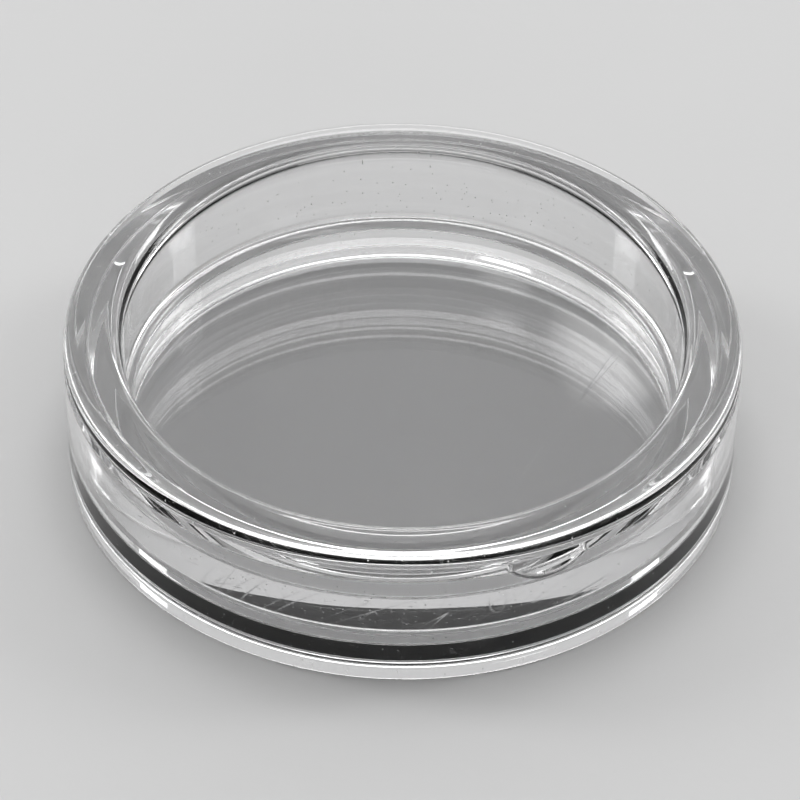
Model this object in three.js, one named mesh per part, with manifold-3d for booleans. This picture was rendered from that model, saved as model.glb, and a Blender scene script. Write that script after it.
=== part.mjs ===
// Round two-piece coin capsule in clear rigid plastic: a deep base and a lid whose plug goes down inside it.
// Millimetres, +Z up. The origin is the centre of the base's underside, and the thumbnail notch is near -Y.

import * as THREE from "three";
import { mergeVertices } from "three/addons/utils/BufferGeometryUtils.js";
import Module from "manifold-3d";

// Whole capsule
const OUTER_DIAMETER = 36;
const CLOSED_HEIGHT = 8.5;

// Coin chamber: the coin lies in a well in the base, between the floor and the window of the lid
const CHAMBER_HEIGHT = 2;
const SEAT_WIDTH = 2.1;

// Wall thicknesses
const FLOOR = 0.6;
const WINDOW = 1.3;
const FLANGE = 1;
const BASE_WALL = 1.3;
const PLUG_WALL = 1.7;

// Gaps between lid and base
const FIT_CLEARANCE = 0.1;
const SEAT_CLEARANCE = 0.1;

// Foot ring and the drafts that let the mouldings leave their moulds
const FOOT_RECESS = 0.1;
const FOOT_WIDTH = 2.6;
const WALL_DRAFT = 0.1;
const RECESS_DRAFT = 0.08;

// Roundings and chamfers
const FLANGE_UNDER_ROUNDING = 0.2;
const FLANGE_EDGE = 0.05;
const RECESS_LIP_ROUNDING = 0.9;
const RECESS_FLOOR_ROUNDING = 0.5;
const PLUG_END_ROUNDING = 0.3;
const RIM_CHAMFER = 0.4;
const RIM_BORE_ROUNDING = 0.2;
const WELL_FLOOR_ROUNDING = 0.35;
const WELL_LIP_ROUNDING = 0.15;
const FOOT_OUTER_ROUNDING = 0.25;
const FOOT_INNER_ROUNDING = 0.04;

// Thumbnail notch, a round scoop in the base's outer top edge that leaves some of the rim beside the bore
const NOTCH_WIDTH = 4.8;
const NOTCH_DROP = 0.8;
const NOTCH_LAND = 0.45;
const NOTCH_BEARING = 25;

// Facets
const TURN_SEGMENTS = 72;
const ARC_STEPS = 3;
const SCOOP_SEGMENTS = 40;

// Levels and radii that follow from the sizes above
const outerRadius = OUTER_DIAMETER / 2;
const boreRadius = outerRadius - BASE_WALL;
const wellRadius = boreRadius - SEAT_WIDTH;
const plugRadius = boreRadius - FIT_CLEARANCE;
const recessRadius = plugRadius - PLUG_WALL;
const footRadius = outerRadius - WALL_DRAFT;
const floorTop = FOOT_RECESS + FLOOR;
const windowUnder = floorTop + CHAMBER_HEIGHT;
const windowTop = windowUnder + WINDOW;
const ledgeTop = windowUnder - SEAT_CLEARANCE;
const flangeUnder = CLOSED_HEIGHT - FLANGE;
const rimTop = flangeUnder - SEAT_CLEARANCE;
const flangeTopRounding = FLANGE - FLANGE_UNDER_ROUNDING - FLANGE_EDGE;
const notchDepth = BASE_WALL - NOTCH_LAND;

/** Points of one profile corner: the corner itself, or an arc that meets both its sides. */
function cornerPoints(before, corner, after, rounding) {
  if (rounding === 0) {
    return [corner];
  }
  const back = before.clone().sub(corner).normalize();
  const ahead = after.clone().sub(corner).normalize();
  const halfAngle = Math.acos(back.dot(ahead)) / 2;
  const bisector = back.clone().add(ahead).normalize();
  const centre = corner.clone().addScaledVector(bisector, rounding / Math.sin(halfAngle));
  const setback = rounding / Math.tan(halfAngle);
  const start = corner.clone().addScaledVector(back, setback).sub(centre);
  const end = corner.clone().addScaledVector(ahead, setback).sub(centre);
  const clockwise = ahead.cross(back) < 0;
  const arc = new THREE.EllipseCurve(
    centre.x, centre.y, rounding, rounding, start.angle(), end.angle(), clockwise,
  );
  return arc.getPoints(ARC_STEPS);
}

/** Lathe profile through corners given as [radius, height, rounding], from the axis round to the axis. */
function roundedProfile(corners) {
  const points = corners.map(([radius, height]) => new THREE.Vector2(radius, height));
  return corners.flatMap(([, , rounding = 0], i) => (
    cornerPoints(points[i - 1], points[i], points[i + 1], rounding)
  ));
}

/** Solid of revolution about +Z. */
function turned(corners) {
  const geometry = new THREE.LatheGeometry(roundedProfile(corners), TURN_SEGMENTS);
  return geometry.rotateX(Math.PI / 2);
}

/** Closed geometry to manifold solid. */
function toSolid(wasm, geometry) {
  const bare = geometry.clone();
  bare.deleteAttribute("normal");
  bare.deleteAttribute("uv");
  const merged = mergeVertices(bare);
  const mesh = new wasm.Mesh({
    numProp: 3,
    vertProperties: new Float32Array(merged.attributes.position.array),
    triVerts: new Uint32Array(merged.index.array),
  });
  return new wasm.Manifold(mesh);
}

/** Manifold solid back to geometry. */
function toGeometry(solid) {
  const mesh = solid.getMesh();
  const geometry = new THREE.BufferGeometry();
  geometry.setAttribute("position", new THREE.BufferAttribute(mesh.vertProperties, 3));
  geometry.setIndex(new THREE.BufferAttribute(mesh.triVerts, 1));
  geometry.computeVertexNormals();
  return geometry;
}

/** Ball that scoops the notch: NOTCH_WIDTH wide where the rim's chamfer ends, notchDepth deep at the rim. */
function notchBall() {
  const chamferEnd = rimTop - RIM_CHAMFER;
  const lowest = chamferEnd - NOTCH_DROP;
  const scoopRadius = ((NOTCH_WIDTH / 2) ** 2 + NOTCH_DROP ** 2) / (2 * NOTCH_DROP);
  const centreHeight = lowest + scoopRadius;
  const halfChordAtRim = scoopRadius ** 2 - (centreHeight - rimTop) ** 2;
  const standOff = (halfChordAtRim - notchDepth ** 2) / (2 * notchDepth);
  const ball = new THREE.SphereGeometry(
    Math.hypot(scoopRadius, standOff), SCOOP_SEGMENTS * 2, SCOOP_SEGMENTS,
  );
  ball.rotateX(Math.PI / 2);
  ball.translate(0, -(outerRadius + standOff), centreHeight);
  ball.rotateZ(THREE.MathUtils.degToRad(NOTCH_BEARING));
  return ball;
}

/** Base: foot ring, outer wall with chamfered rim, bore and ledge for the plug, coin well, floor. */
function baseGeometry(wasm) {
  const footInner = footRadius - FOOT_WIDTH;
  const cup = turned([
    [0, FOOT_RECESS],
    [footInner, FOOT_RECESS, FOOT_INNER_ROUNDING],
    [footInner, 0, FOOT_INNER_ROUNDING],
    [footRadius, 0, FOOT_OUTER_ROUNDING],
    [outerRadius, rimTop - RIM_CHAMFER],
    [outerRadius - RIM_CHAMFER, rimTop],
    [boreRadius, rimTop, RIM_BORE_ROUNDING],
    [boreRadius, ledgeTop],
    [wellRadius, ledgeTop, WELL_LIP_ROUNDING],
    [wellRadius, floorTop, WELL_FLOOR_ROUNDING],
    [0, floorTop],
  ]);
  return toGeometry(toSolid(wasm, cup).subtract(toSolid(wasm, notchBall())));
}

/** Lid: flat window at the bottom of the plug, plug wall, flange that closes on the base's rim. */
function lidGeometry() {
  return turned([
    [0, windowUnder],
    [plugRadius, windowUnder, PLUG_END_ROUNDING],
    [plugRadius, flangeUnder],
    [outerRadius, flangeUnder, FLANGE_UNDER_ROUNDING],
    [outerRadius, CLOSED_HEIGHT, flangeTopRounding],
    [recessRadius, CLOSED_HEIGHT, RECESS_LIP_ROUNDING],
    [recessRadius - RECESS_DRAFT, windowTop, RECESS_FLOOR_ROUNDING],
    [0, windowTop],
  ]);
}

/** Colourless rigid plastic, polished in the mould. */
function clearPlastic() {
  return new THREE.MeshStandardMaterial({
    color: 0xf2f4f5,
    roughness: 0.04,
    metalness: 0,
    transparent: true,
    opacity: 0.3,
  });
}

function part(name, geometry) {
  const mesh = new THREE.Mesh(geometry, clearPlastic());
  mesh.name = name;
  return mesh;
}

const wasm = await Module();
wasm.setup();

const capsule = new THREE.Group();
capsule.add(part("base", baseGeometry(wasm)));
capsule.add(part("lid", lidGeometry()));

export default capsule;
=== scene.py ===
"""Looks for a clear two-piece coin capsule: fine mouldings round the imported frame, floor, lights, camera."""

import math

import bpy
from mathutils import Matrix, Vector


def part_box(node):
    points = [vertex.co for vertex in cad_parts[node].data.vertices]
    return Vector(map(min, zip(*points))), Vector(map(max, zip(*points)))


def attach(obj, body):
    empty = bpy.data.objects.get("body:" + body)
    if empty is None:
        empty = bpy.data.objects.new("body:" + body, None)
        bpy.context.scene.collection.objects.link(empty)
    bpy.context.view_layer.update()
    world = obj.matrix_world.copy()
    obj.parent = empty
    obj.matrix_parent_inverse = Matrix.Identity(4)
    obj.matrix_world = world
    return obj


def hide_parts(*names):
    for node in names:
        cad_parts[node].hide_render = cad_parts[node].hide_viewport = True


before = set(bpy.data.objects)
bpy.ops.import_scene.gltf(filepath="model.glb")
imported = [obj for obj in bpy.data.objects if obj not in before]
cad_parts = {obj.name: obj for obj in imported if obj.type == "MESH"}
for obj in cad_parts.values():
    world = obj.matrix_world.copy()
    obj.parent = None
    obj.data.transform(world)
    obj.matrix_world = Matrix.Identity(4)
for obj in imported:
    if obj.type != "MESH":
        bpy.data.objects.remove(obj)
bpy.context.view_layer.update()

MM = 0.001

# The CAD frame's own sizes, in millimetres
base_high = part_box("base")[1] / MM
lid_low, lid_high = (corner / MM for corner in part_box("lid"))
OUTER_RADIUS = lid_high.x
CLOSED_HEIGHT = lid_high.z
WINDOW_UNDER = lid_low.z
RIM_TOP = base_high.z

# Sizes inside those boxes, in millimetres, as in the CAD model
WELL_RADIUS = 14.6
FLOOR_TOP = 0.7
WINDOW = 1.3
FLANGE = 1.0
BASE_WALL = 1.3
PLUG_WALL = 1.7
FIT_CLEARANCE = 0.1
SEAT_CLEARANCE = 0.1
FOOT_RECESS = 0.1
FOOT_WIDTH = 2.6
WALL_DRAFT = 0.1
RECESS_DRAFT = 0.08

# Roundings and chamfers, in millimetres
FLANGE_TOP_ROUNDING = 0.75
FLANGE_UNDER_ROUNDING = 0.2
FLANGE_ROOT_ROUNDING = 0.12
RECESS_LIP_ROUNDING = 0.9
RECESS_FLOOR_ROUNDING = 0.5
PLUG_END_ROUNDING = 0.3
RIM_CHAMFER = 0.4
RIM_OUTER_ROUNDING = 0.12
RIM_EDGE_ROUNDING = 0.08
RIM_BORE_ROUNDING = 0.2
LEDGE_ROOT_ROUNDING = 0.12
WELL_FLOOR_ROUNDING = 0.35
WELL_LIP_ROUNDING = 0.15
FOOT_OUTER_ROUNDING = 0.25
FOOT_INNER_ROUNDING = 0.04

# Thumbnail notch
NOTCH_WIDTH = 4.8
NOTCH_DROP = 0.8
NOTCH_DEPTH = 0.85
NOTCH_BEARING = math.radians(-90 + 25)
NOTCH_EDGE = 0.12

# Fineness of the turned meshes
COLUMNS = 360
NOTCH_COLUMNS = 100
NOTCH_SPAN = math.radians(9)
NOTCH_ROW = 0.035
ARC_STEP = math.radians(9)
GUARD = 0.03
LONG_STRAIGHT = 5 * GUARD
SHARP_EDGE = math.radians(35)

# Light tent, in degrees: elevation of its middle, which is over +Y, and the angles from the middle at
# which it starts and ends to fade. Its light, and the room's outside it, are radiances.
TENT_TILT = 66
TENT_BRIGHT = 45
TENT_EDGE = 84
TENT_LIGHT = 0.65
ROOM_LIGHT = 0.12

# Small glow that the windows mirror, in degrees
GLOW_AZIMUTH = 3.2
GLOW_ELEVATION = 40.7
GLOW_EDGE = 0.85
GLOW_LIGHT = 2.4

# Softboxes: name, azimuth and elevation in degrees, width and height in metres, and radiance
SOFTBOX_DISTANCE = 0.6
SOFTBOXES = (
    ("top_panel", 0, 80, 0.3, 0.3, 2.5),
    ("rear_low", 0, 15, 0.8, 0.1, 3.5),
    ("front_low", 180, 15, 0.8, 0.1, 2.0),
    ("left_strip", -75, 35, 0.12, 0.3, 5.0),
    ("right_strip", 75, 35, 0.12, 0.3, 5.0),
)

# Clear plastic, and the faint waves that the mould leaves in its surface, in millimetres
PLASTIC_IOR = 1.49
PLASTIC_COLOUR = (0.99, 0.99, 0.992, 1)
WAVE_SIZE = 3.0
WAVE_DEPTH = 0.0015

# Haze from handling, dust specks and hairline scratches: sizes in millimetres, and the roughness each gives
HAZE_SIZE = 5.0
HAZE_ROUGHNESS = 0.01
SPECK_COLOUR = (0.3, 0.3, 0.29, 1)
SPECK_SPACING = 0.45
SPECK_RADIUS = 0.05
SPECK_SHARE = 0.4
SPECK_ROUGHNESS = 0.5
SCRATCH_SPACING = 3.0
SCRATCH_TURN = 0.5
SCRATCH_ROUGHNESS = 0.18

# A scratch lies where a drawn-out noise is within SCRATCH_WIDTH of SCRATCH_LEVEL, on a scale of 0 to 1
SCRATCH_LEVEL = 0.61
SCRATCH_WIDTH = 0.0012

# Shift of the lid's pattern from the base's, in metres, so that their marks differ
LID_SHIFT = 0.3

# Floor board, in millimetres: it lies just under the foot, so that the two faces don't coincide
FLOOR_SIZE = 4000
FLOOR_GAP = 0.03
FLOOR_GREY = (0.67, 0.67, 0.67, 1)
FLOOR_PALE = (0.70, 0.70, 0.70, 1)
FLOOR_ROUGHNESS = 0.7
CLOUD_SIZE = 60.0
TOOTH_SIZE = 0.5
TOOTH_DEPTH = 0.02
TOOTH_STRENGTH = 0.3

# Light bounces: enough for the light that the clear walls guide along
BOUNCES = 16

# Camera: distance in capsule radii, angles in degrees, aim and lens in millimetres, clips in metres
CAMERA_DISTANCE = 15
CAMERA_ELEVATION = 42.0
CAMERA_ROLL = 0.97
CAMERA_AIM = (-0.1, 0, 3.45)
SENSOR_WIDTH = 36
LENS = 224.865
CLIP_START = 0.01
CLIP_END = 10


# ---------------------------------------------------------------- turned shapes


def corner_points(before, corner, after, rounding):
    """One profile corner: the corner itself, or an arc that meets both its sides."""
    if rounding == 0:
        return [corner]
    back = (before - corner).normalized()
    ahead = (after - corner).normalized()
    half = back.angle(ahead) / 2
    centre = corner + (back + ahead).normalized() * rounding / math.sin(half)
    start = corner + back * rounding / math.tan(half) - centre
    end = corner + ahead * rounding / math.tan(half) - centre
    turn = -start.angle_signed(end)
    steps = max(2, math.ceil(abs(turn) / ARC_STEP))
    return [centre + Matrix.Rotation(turn * i / steps, 2) @ start for i in range(steps + 1)]


def guarded(points):
    """Adds a point close to each end of every long straight, so that shading stays flat along it."""
    kept = [points[0]]
    for a, b in zip(points, points[1:]):
        step = b - a
        if step.length > LONG_STRAIGHT:
            inset = step.normalized() * GUARD
            kept += [a + inset, b - inset]
        kept.append(b)
    return kept


def rounded_profile(corners):
    """Profile through (radius, height, rounding) corners, from the axis round to the axis."""
    points = [Vector(corner[:2]) for corner in corners]
    profile = [points[0]]
    for before, corner, after, (_, _, rounding) in zip(points, points[1:], points[2:], corners[1:-1]):
        profile += corner_points(before, corner, after, rounding)
    return guarded(profile + [points[-1]])


def split_rows(profile, lowest, innermost):
    """Splits the profile's stretches outside a radius and above a height into short rows."""
    rows = [profile[0]]
    for a, b in zip(profile, profile[1:]):
        if min(a.y, b.y) >= lowest and min(a.x, b.x) >= innermost:
            count = math.ceil((b - a).length / NOTCH_ROW)
            rows += [a.lerp(b, i / count) for i in range(1, count)]
        elif max(a.y, b.y) > lowest and min(a.x, b.x) >= innermost:
            start = a.lerp(b, (lowest - a.y) / (b.y - a.y))
            count = math.ceil((b - start).length / NOTCH_ROW)
            rows += [start.lerp(b, i / count) for i in range(count)]
        rows.append(b)
    return rows


def even_angles():
    return [2 * math.pi * i / COLUMNS for i in range(COLUMNS)]


def turned(name, profile, angles, reshape=None):
    """Solid of revolution about +Z whose profile starts and ends on the axis."""
    rings = profile[1:-1]
    verts = [(0, 0, profile[0].y * MM), (0, 0, profile[-1].y * MM)]
    for angle in angles:
        for point in rings:
            radius = reshape(point, angle) if reshape else point.x
            verts.append((radius * math.cos(angle) * MM, radius * math.sin(angle) * MM, point.y * MM))
    faces = []
    count = len(rings)
    for column in range(len(angles)):
        here = 2 + column * count
        there = 2 + (column + 1) % len(angles) * count
        faces.append((0, there, here))
        faces.append((1, here + count - 1, there + count - 1))
        faces += [(here + row, there + row, there + row + 1, here + row + 1) for row in range(count - 1)]
    mesh = bpy.data.meshes.new(name)
    mesh.from_pydata(verts, [], faces)
    mesh.shade_smooth()
    mesh.set_sharp_from_angle(angle=SHARP_EDGE)
    piece = bpy.data.objects.new(name, mesh)
    bpy.context.collection.objects.link(piece)
    return piece


# ---------------------------------------------------------------- thumbnail notch


class Notch:
    """Ball that scoops a crescent out of the base's outer top edge."""

    def __init__(self):
        chamfer_end = RIM_TOP - RIM_CHAMFER
        self.lowest = chamfer_end - NOTCH_DROP
        scoop = ((NOTCH_WIDTH / 2) ** 2 + NOTCH_DROP**2) / (2 * NOTCH_DROP)
        self.height = self.lowest + scoop
        chord = scoop**2 - (self.height - RIM_TOP) ** 2
        stand_off = (chord - NOTCH_DEPTH**2) / (2 * NOTCH_DEPTH)
        self.radius = math.hypot(scoop, stand_off)
        self.distance = OUTER_RADIUS + stand_off

    def reach(self, angle, height):
        """Radius at which the ball begins, seen from the axis."""
        offset = angle - NOTCH_BEARING
        section = self.radius**2 - (height - self.height) ** 2
        inside = section - (self.distance * math.sin(offset)) ** 2
        if inside < 0 or math.cos(offset) < 0:
            return self.distance
        return self.distance * math.cos(offset) - math.sqrt(inside)

    def cut(self, radius, angle, height):
        """Radius left by the scoop, rounded off within NOTCH_EDGE of where the scoop meets the surface."""
        reach = self.reach(angle, height)
        blend = max(NOTCH_EDGE - abs(radius - reach), 0) / NOTCH_EDGE
        return min(radius, reach) - blend**2 * NOTCH_EDGE / 4


def notch_angles():
    """Even columns, with fine ones across the notch."""
    fine = [NOTCH_BEARING + NOTCH_SPAN * (2 * i / NOTCH_COLUMNS - 1) for i in range(NOTCH_COLUMNS + 1)]
    gap = math.pi / COLUMNS
    coarse = [
        angle for angle in even_angles()
        if abs((angle - NOTCH_BEARING + math.pi) % (2 * math.pi) - math.pi) > NOTCH_SPAN + gap
    ]
    return sorted(coarse + [angle % (2 * math.pi) for angle in fine])


# ---------------------------------------------------------------- the two mouldings


def base_piece():
    """Base: foot ring, outer wall, chamfered rim with the notch, bore and ledge for the plug, well, floor."""
    bore = OUTER_RADIUS - BASE_WALL
    foot = OUTER_RADIUS - WALL_DRAFT
    ledge = WINDOW_UNDER - SEAT_CLEARANCE
    flat_outer = OUTER_RADIUS - RIM_CHAMFER
    profile = rounded_profile([
        (0, FOOT_RECESS, 0),
        (foot - FOOT_WIDTH, FOOT_RECESS, FOOT_INNER_ROUNDING),
        (foot - FOOT_WIDTH, 0, FOOT_INNER_ROUNDING),
        (foot, 0, FOOT_OUTER_ROUNDING),
        (OUTER_RADIUS, RIM_TOP - RIM_CHAMFER, RIM_OUTER_ROUNDING),
        (flat_outer, RIM_TOP, RIM_EDGE_ROUNDING),
        (bore, RIM_TOP, RIM_BORE_ROUNDING),
        (bore, ledge, LEDGE_ROOT_ROUNDING),
        (WELL_RADIUS, ledge, WELL_LIP_ROUNDING),
        (WELL_RADIUS, FLOOR_TOP, WELL_FLOOR_ROUNDING),
        (0, FLOOR_TOP, 0),
    ])
    notch = Notch()
    flat_inner = bore + RIM_BORE_ROUNDING
    rows = split_rows(profile, notch.lowest - 3 * NOTCH_EDGE, flat_inner)

    def reshape(point, angle):
        """Radius after the scoop; the rim's flat top is drawn in evenly, so that its rows never cross."""
        if point.y < notch.lowest - NOTCH_EDGE * 2 or point.x <= flat_inner:
            return point.x
        if point.x > flat_outer:
            return notch.cut(point.x, angle, point.y)
        edge = notch.cut(flat_outer, angle, RIM_TOP)
        return flat_inner + (point.x - flat_inner) * (edge - flat_inner) / (flat_outer - flat_inner)

    return turned("base_moulding", rows, notch_angles(), reshape)


def lid_piece():
    """Lid: sunken window, plug wall, and the flange that closes on the rim."""
    plug = OUTER_RADIUS - BASE_WALL - FIT_CLEARANCE
    recess = plug - PLUG_WALL
    flange_under = CLOSED_HEIGHT - FLANGE
    window_top = WINDOW_UNDER + WINDOW
    profile = rounded_profile([
        (0, WINDOW_UNDER, 0),
        (plug, WINDOW_UNDER, PLUG_END_ROUNDING),
        (plug, flange_under, FLANGE_ROOT_ROUNDING),
        (OUTER_RADIUS, flange_under, FLANGE_UNDER_ROUNDING),
        (OUTER_RADIUS, CLOSED_HEIGHT, FLANGE_TOP_ROUNDING),
        (recess, CLOSED_HEIGHT, RECESS_LIP_ROUNDING),
        (recess - RECESS_DRAFT, window_top, RECESS_FLOOR_ROUNDING),
        (0, window_top, 0),
    ])
    return turned("lid_moulding", profile, even_angles())


# ---------------------------------------------------------------- materials


class Nodes:
    """Short forms for building one material's node tree."""

    def __init__(self, material):
        material.use_nodes = True
        self.tree = material.node_tree
        self.shader = self.tree.nodes["Principled BSDF"]
        coordinates = self.tree.nodes.new("ShaderNodeTexCoord")
        self.place = coordinates.outputs["Object"]

    def add(self, kind, inputs=None, **settings):
        node = self.tree.nodes.new("ShaderNode" + kind)
        for name, value in settings.items():
            setattr(node, name, value)
        for name, value in (inputs or {}).items():
            self.put(node.inputs[name], value)
        return node

    def put(self, socket, value):
        if isinstance(value, bpy.types.NodeSocket):
            self.tree.links.new(value, socket)
        else:
            socket.default_value = value

    def moved(self, stretch, turn=0.0):
        """Object coordinates in metres, scaled by one factor per axis after a turn about +Z."""
        turned_place = self.add("Mapping", {"Vector": self.place, "Rotation": (0, 0, turn)})
        return self.add("Mapping", {"Vector": turned_place.outputs[0], "Scale": stretch}).outputs[0]

    def noise(self, size, detail=2.0, stretch=(1, 1, 1), turn=0.0):
        """Cloudy pattern whose features are about the given size in millimetres."""
        where = self.moved(tuple(1 / (size * MM) * factor for factor in stretch), turn)
        return self.add("TexNoise", {"Vector": where, "Scale": 1.0, "Detail": detail}).outputs["Fac"]

    def band(self, value, low, high, bottom=0.0, top=1.0):
        """Value remapped from low..high to bottom..top, clamped."""
        inputs = {"Value": value, "From Min": low, "From Max": high, "To Min": bottom, "To Max": top}
        return self.add("MapRange", inputs).outputs[0]

    def specks(self, spacing, radius, share):
        """Small dots, one in some of the cells of a grid of the given spacing in millimetres."""
        cells = self.add("TexVoronoi", {"Vector": self.place, "Scale": 1 / (spacing * MM)})
        dot = self.band(cells.outputs["Distance"], radius / spacing, 0.5 * radius / spacing)
        picks = self.add("SeparateColor", {"Color": cells.outputs["Color"]}).outputs[0]
        kept = self.add("Math", {0: picks, 1: share}, operation="LESS_THAN").outputs[0]
        return self.add("Math", {0: dot, 1: kept}, operation="MULTIPLY").outputs[0]

    def scratches(self, spacing, turn):
        """Fine straight lines a few millimetres long, at one level of a drawn-out noise."""
        across = self.noise(spacing, 0.0, (1, 0.05, 0.3), turn)
        limits = {0: across, 1: SCRATCH_LEVEL, 2: SCRATCH_WIDTH}
        return self.add("Math", limits, operation="COMPARE").outputs[0]

    def larger(self, a, b):
        return self.add("Math", {0: a, 1: b}, operation="MAXIMUM").outputs[0]

    def colour_mix(self, factor, low, high):
        """Colour that goes from low to high as the factor goes from 0 to 1."""
        mix = self.add("Mix", {"Factor": factor}, data_type="RGBA")
        self.put(mix.inputs[6], low)
        self.put(mix.inputs[7], high)
        return mix.outputs[2]

    def bump(self, height, strength, depth):
        """Surface normal over a height pattern of the given depth in millimetres."""
        return self.add("Bump", {"Height": height, "Strength": strength, "Distance": depth * MM}).outputs[0]


def clear_plastic(name, shift):
    """Polished clear plastic: a little mould waviness, handling haze, dust specks and hairline scratches."""
    material = bpy.data.materials.new(name)
    nodes = Nodes(material)
    shader = nodes.shader
    nodes.place = nodes.add("Mapping", {"Vector": nodes.place, "Location": (shift, shift, 0)}).outputs[0]
    specks = nodes.specks(SPECK_SPACING, SPECK_RADIUS, SPECK_SHARE)
    scratches = nodes.scratches(SCRATCH_SPACING, SCRATCH_TURN)
    haze = nodes.band(nodes.noise(HAZE_SIZE, 2.0), 0.5, 0.75, 0.0, HAZE_ROUGHNESS)
    rough_specks = nodes.band(specks, 0, 1, 0, SPECK_ROUGHNESS)
    rough_scratches = nodes.band(scratches, 0, 1, 0, SCRATCH_ROUGHNESS)
    marks = nodes.larger(rough_specks, rough_scratches)
    nodes.put(shader.inputs["Roughness"], nodes.larger(haze, marks))
    nodes.put(shader.inputs["Base Color"], nodes.colour_mix(specks, PLASTIC_COLOUR, SPECK_COLOUR))
    nodes.put(shader.inputs["Normal"], nodes.bump(nodes.noise(WAVE_SIZE, 0.0), 1.0, WAVE_DEPTH))
    shader.inputs["IOR"].default_value = PLASTIC_IOR
    shader.inputs["Transmission Weight"].default_value = 1.0
    return material


def floor_material():
    """Matt pale board with faint clouding and a fine tooth."""
    material = bpy.data.materials.new("pale_floor")
    nodes = Nodes(material)
    shader = nodes.shader
    clouds = nodes.band(nodes.noise(CLOUD_SIZE, 3.0), 0.3, 0.7)
    tooth = nodes.noise(TOOTH_SIZE, 2.0)
    nodes.put(shader.inputs["Base Color"], nodes.colour_mix(clouds, FLOOR_GREY, FLOOR_PALE))
    nodes.put(shader.inputs["Normal"], nodes.bump(tooth, TOOTH_STRENGTH, TOOTH_DEPTH))
    shader.inputs["Roughness"].default_value = FLOOR_ROUGHNESS
    return material


# ---------------------------------------------------------------- stage, light and camera


def add_floor():
    bpy.ops.mesh.primitive_plane_add(size=FLOOR_SIZE * MM, location=(0, 0, -FLOOR_GAP * MM))
    floor = bpy.context.object
    floor.name = "floor"
    floor.data.materials.append(floor_material())


def toward(azimuth, elevation):
    """Unit vector at an azimuth from +Y towards +X and an elevation, in degrees."""
    across, up = math.radians(azimuth), math.radians(elevation)
    return Vector((math.sin(across) * math.cos(up), math.cos(across) * math.cos(up), math.sin(up)))


def softbox(name, azimuth, elevation, width, height, radiance):
    """Soft area light aimed at the capsule, with its brightness given as radiance."""
    lamp = bpy.data.lights.new(name, "AREA")
    lamp.shape = "RECTANGLE"
    lamp.size = width
    lamp.size_y = height
    lamp.energy = radiance * math.pi * width * height
    light = bpy.data.objects.new(name, lamp)
    direction = toward(azimuth, elevation)
    light.location = direction * SOFTBOX_DISTANCE
    light.rotation_euler = direction.to_track_quat("Z", "Y").to_euler()
    bpy.context.collection.objects.link(light)


def sky_patch(tree, centre, bright, edge, low, high):
    """Light round one direction: high within the bright angle, smoothly down to low at the edge angle."""
    direction = tree.nodes.new("ShaderNodeTexCoord").outputs["Generated"]
    facing = tree.nodes.new("ShaderNodeVectorMath")
    facing.operation = "DOT_PRODUCT"
    facing.inputs[1].default_value = centre
    level = tree.nodes.new("ShaderNodeMapRange")
    level.interpolation_type = "SMOOTHSTEP"
    level.inputs["From Min"].default_value = math.cos(math.radians(edge))
    level.inputs["From Max"].default_value = math.cos(math.radians(bright))
    level.inputs["To Min"].default_value = low
    level.inputs["To Max"].default_value = high
    tree.links.new(direction, facing.inputs[0])
    tree.links.new(facing.outputs["Value"], level.inputs["Value"])
    return level.outputs[0]


def add_sky():
    """Soft tent over the stage, brightest above and behind it, with a small glow low behind on the right."""
    world = bpy.data.worlds.new("studio")
    world.use_nodes = True
    tree = world.node_tree
    both = tree.nodes.new("ShaderNodeMath")
    tent = sky_patch(tree, toward(0, TENT_TILT), TENT_BRIGHT, TENT_EDGE, ROOM_LIGHT, TENT_LIGHT)
    glow = sky_patch(tree, toward(GLOW_AZIMUTH, GLOW_ELEVATION), 0, GLOW_EDGE, 0, GLOW_LIGHT)
    tree.links.new(tent, both.inputs[0])
    tree.links.new(glow, both.inputs[1])
    tree.links.new(both.outputs[0], tree.nodes["Background"].inputs["Strength"])
    tree.nodes["Background"].inputs["Color"].default_value = (1, 1, 1, 1)
    bpy.context.scene.world = world


def add_lights():
    """The sky, a softbox overhead, a low one behind and in front, and an upright strip at each side."""
    add_sky()
    for values in SOFTBOXES:
        softbox(*values)


def add_render_looks():
    """Bounces for the clear walls, and plain display contrast."""
    scene = bpy.context.scene
    scene.cycles.max_bounces = BOUNCES
    scene.cycles.transmission_bounces = BOUNCES
    scene.cycles.glossy_bounces = BOUNCES
    scene.view_settings.view_transform = "Standard"


def add_camera():
    """Long lens from the front, looking down at the capsule, rolled by a degree."""
    distance = CAMERA_DISTANCE * OUTER_RADIUS * MM
    elevation = math.radians(CAMERA_ELEVATION)
    data = bpy.data.cameras.new("camera")
    data.sensor_width = SENSOR_WIDTH
    data.lens = LENS
    data.clip_start = CLIP_START
    data.clip_end = CLIP_END
    camera = bpy.data.objects.new("camera", data)
    camera.location = Vector((0, -math.cos(elevation), math.sin(elevation))) * distance
    look = (Vector(CAMERA_AIM) * MM - camera.location).to_track_quat("-Z", "Y").to_matrix()
    camera.rotation_euler = (look @ Matrix.Rotation(math.radians(CAMERA_ROLL), 3, "Z")).to_euler()
    bpy.context.collection.objects.link(camera)
    bpy.context.scene.camera = camera


# ---------------------------------------------------------------- assembly


def dress(piece, node, shift):
    """Gives a moulding its plastic, and puts it in place of its CAD node."""
    piece.data.materials.append(clear_plastic("clear_" + node, shift))
    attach(piece, node)
    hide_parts(node)


dress(base_piece(), "base", 0.0)
dress(lid_piece(), "lid", LID_SHIFT)
add_floor()
add_lights()
add_render_looks()
add_camera()
